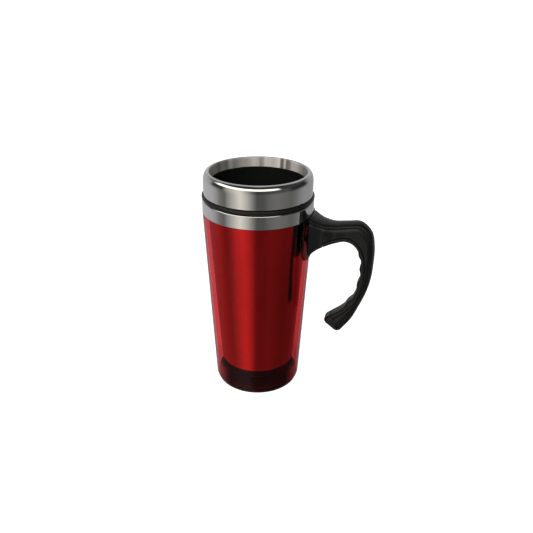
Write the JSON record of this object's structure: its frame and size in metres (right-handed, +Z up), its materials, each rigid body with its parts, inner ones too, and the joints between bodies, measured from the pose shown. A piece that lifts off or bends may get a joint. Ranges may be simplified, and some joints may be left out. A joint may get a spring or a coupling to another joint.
{
  "type": "insulated travel mug",
  "caption": "Open tapered travel mug with a translucent shell over a steel sleeve, a black liner, steel rim bands and a hooked side handle.",
  "frame": {"origin": "centre of the foot pad's underside, on the mug's axis", "axes": "+Z up along the mug's axis towards the mouth; +X from the axis towards the handle; +Y completes the right-handed frame"},
  "size_m": [0.1338, 0.0856, 0.18],
  "materials": {
    "red_plastic": "clear tinted gloss plastic, dark red",
    "black_plastic": "satin moulded",
    "liner_plastic": "smooth satin",
    "grip_rubber": "soft moulded grip",
    "rim_steel": "finely polished stainless sheet",
    "sleeve_steel": "brushed stainless sheet",
    "seal_rubber": "moulded rubber",
    "screw_zinc": "zinc plated"
  },
  "bodies": {
    "root": {"outer_shell": "red_plastic", "base_cap": "black_plastic", "base_seal": "seal_rubber", "foot_pad": "seal_rubber", "steel_sleeve": "sleeve_steel", "inner_liner": "liner_plastic", "liner_seal": "seal_rubber", "collar_ring": "black_plastic", "trim_band": "rim_steel", "upper_rim": "rim_steel", "handle_body": "black_plastic", "handle_grip": "grip_rubber", "handle_screw_upper": "screw_zinc", "handle_screw_lower": "screw_zinc"}
  },
  "joints": []
}
